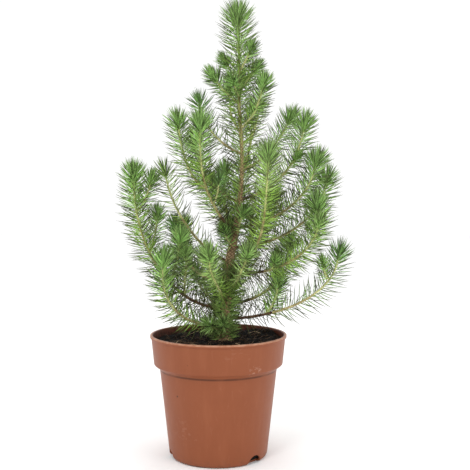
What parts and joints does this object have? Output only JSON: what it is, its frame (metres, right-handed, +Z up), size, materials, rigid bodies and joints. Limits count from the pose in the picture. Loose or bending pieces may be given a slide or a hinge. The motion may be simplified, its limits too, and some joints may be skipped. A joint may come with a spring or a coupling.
{
  "type": "potted stone pine",
  "caption": "Young conifer with upswept bottle-brush boughs of fine green needles, growing in a tapered terracotta-coloured plastic nursery pot filled with soil.",
  "frame": {"origin": "centre of the pot's flat underside, on the pot's axis", "axes": "+Z up along the pot's axis to the tree's tip, -Y toward the viewer of the picture, +X to the viewer's right"},
  "size_m": [0.2234, 0.1617, 0.4289],
  "materials": {
    "terracotta_plastic": "satin injection-moulded polypropylene, terracotta brown",
    "potting_soil": "moist near-black peat with brown fibres",
    "bark": "brown bark with the scaly bases of fallen needles",
    "needle_green": "soft juvenile needles, grey-green, on thin twigs"
  },
  "bodies": {
    "root": {"back_crown_needles": "needle_green", "back_high_bough": "bark", "back_high_needles": "needle_green", "back_inner_high_needles": "needle_green", "back_inner_low_needles": "needle_green", "back_left_bough": "bark", "back_left_needles": "needle_green", "back_low_left_bough": "bark", "back_low_left_needles": "needle_green", "back_low_right_bough": "bark", "back_low_right_needles": "needle_green", "back_mid_bough": "bark", "back_mid_needles": "needle_green", "back_right_bough": "bark", "back_right_needles": "needle_green", "back_top_needles": "needle_green", "back_upper_left_needles": "needle_green", "back_upper_right_needles": "needle_green", "crown_front_needles": "needle_green", "crown_left_needles": "needle_green", "crown_right_needles": "needle_green", "foot_front_bough": "bark", "foot_front_needles": "needle_green", "foot_left_bough": "bark", "foot_left_needles": "needle_green", "foot_right_needles": "needle_green", "front_left_bough": "bark", "front_left_needles": "needle_green", "front_right_bough": "bark", "front_right_needles": "needle_green", "left_high_needles": "needle_green", "left_mid_bough": "bark", "left_mid_needles": "needle_green", "low_left_bough": "bark", "low_left_needles": "needle_green", "low_right_bough": "bark", "low_right_needles": "needle_green", "pot": "terracotta_plastic", "right_high_bough": "bark", "right_high_needles": "needle_green", "right_inner_needles": "needle_green", "right_low_bough": "bark", "right_low_needles": "needle_green", "right_mid_bough": "bark", "right_mid_needles": "needle_green", "right_top_bough": "bark", "right_top_needles": "needle_green", "soil": "potting_soil", "top_front_needles": "needle_green", "top_left_needles": "needle_green", "top_right_needles": "needle_green", "trunk": "bark", "trunk_needles_1": "needle_green", "trunk_needles_2": "needle_green", "trunk_needles_3": "needle_green", "tuft_foot_front": "needle_green", "tuft_foot_left": "needle_green", "tuft_front_high": "needle_green", "tuft_front_low": "needle_green"}
  },
  "joints": []
}
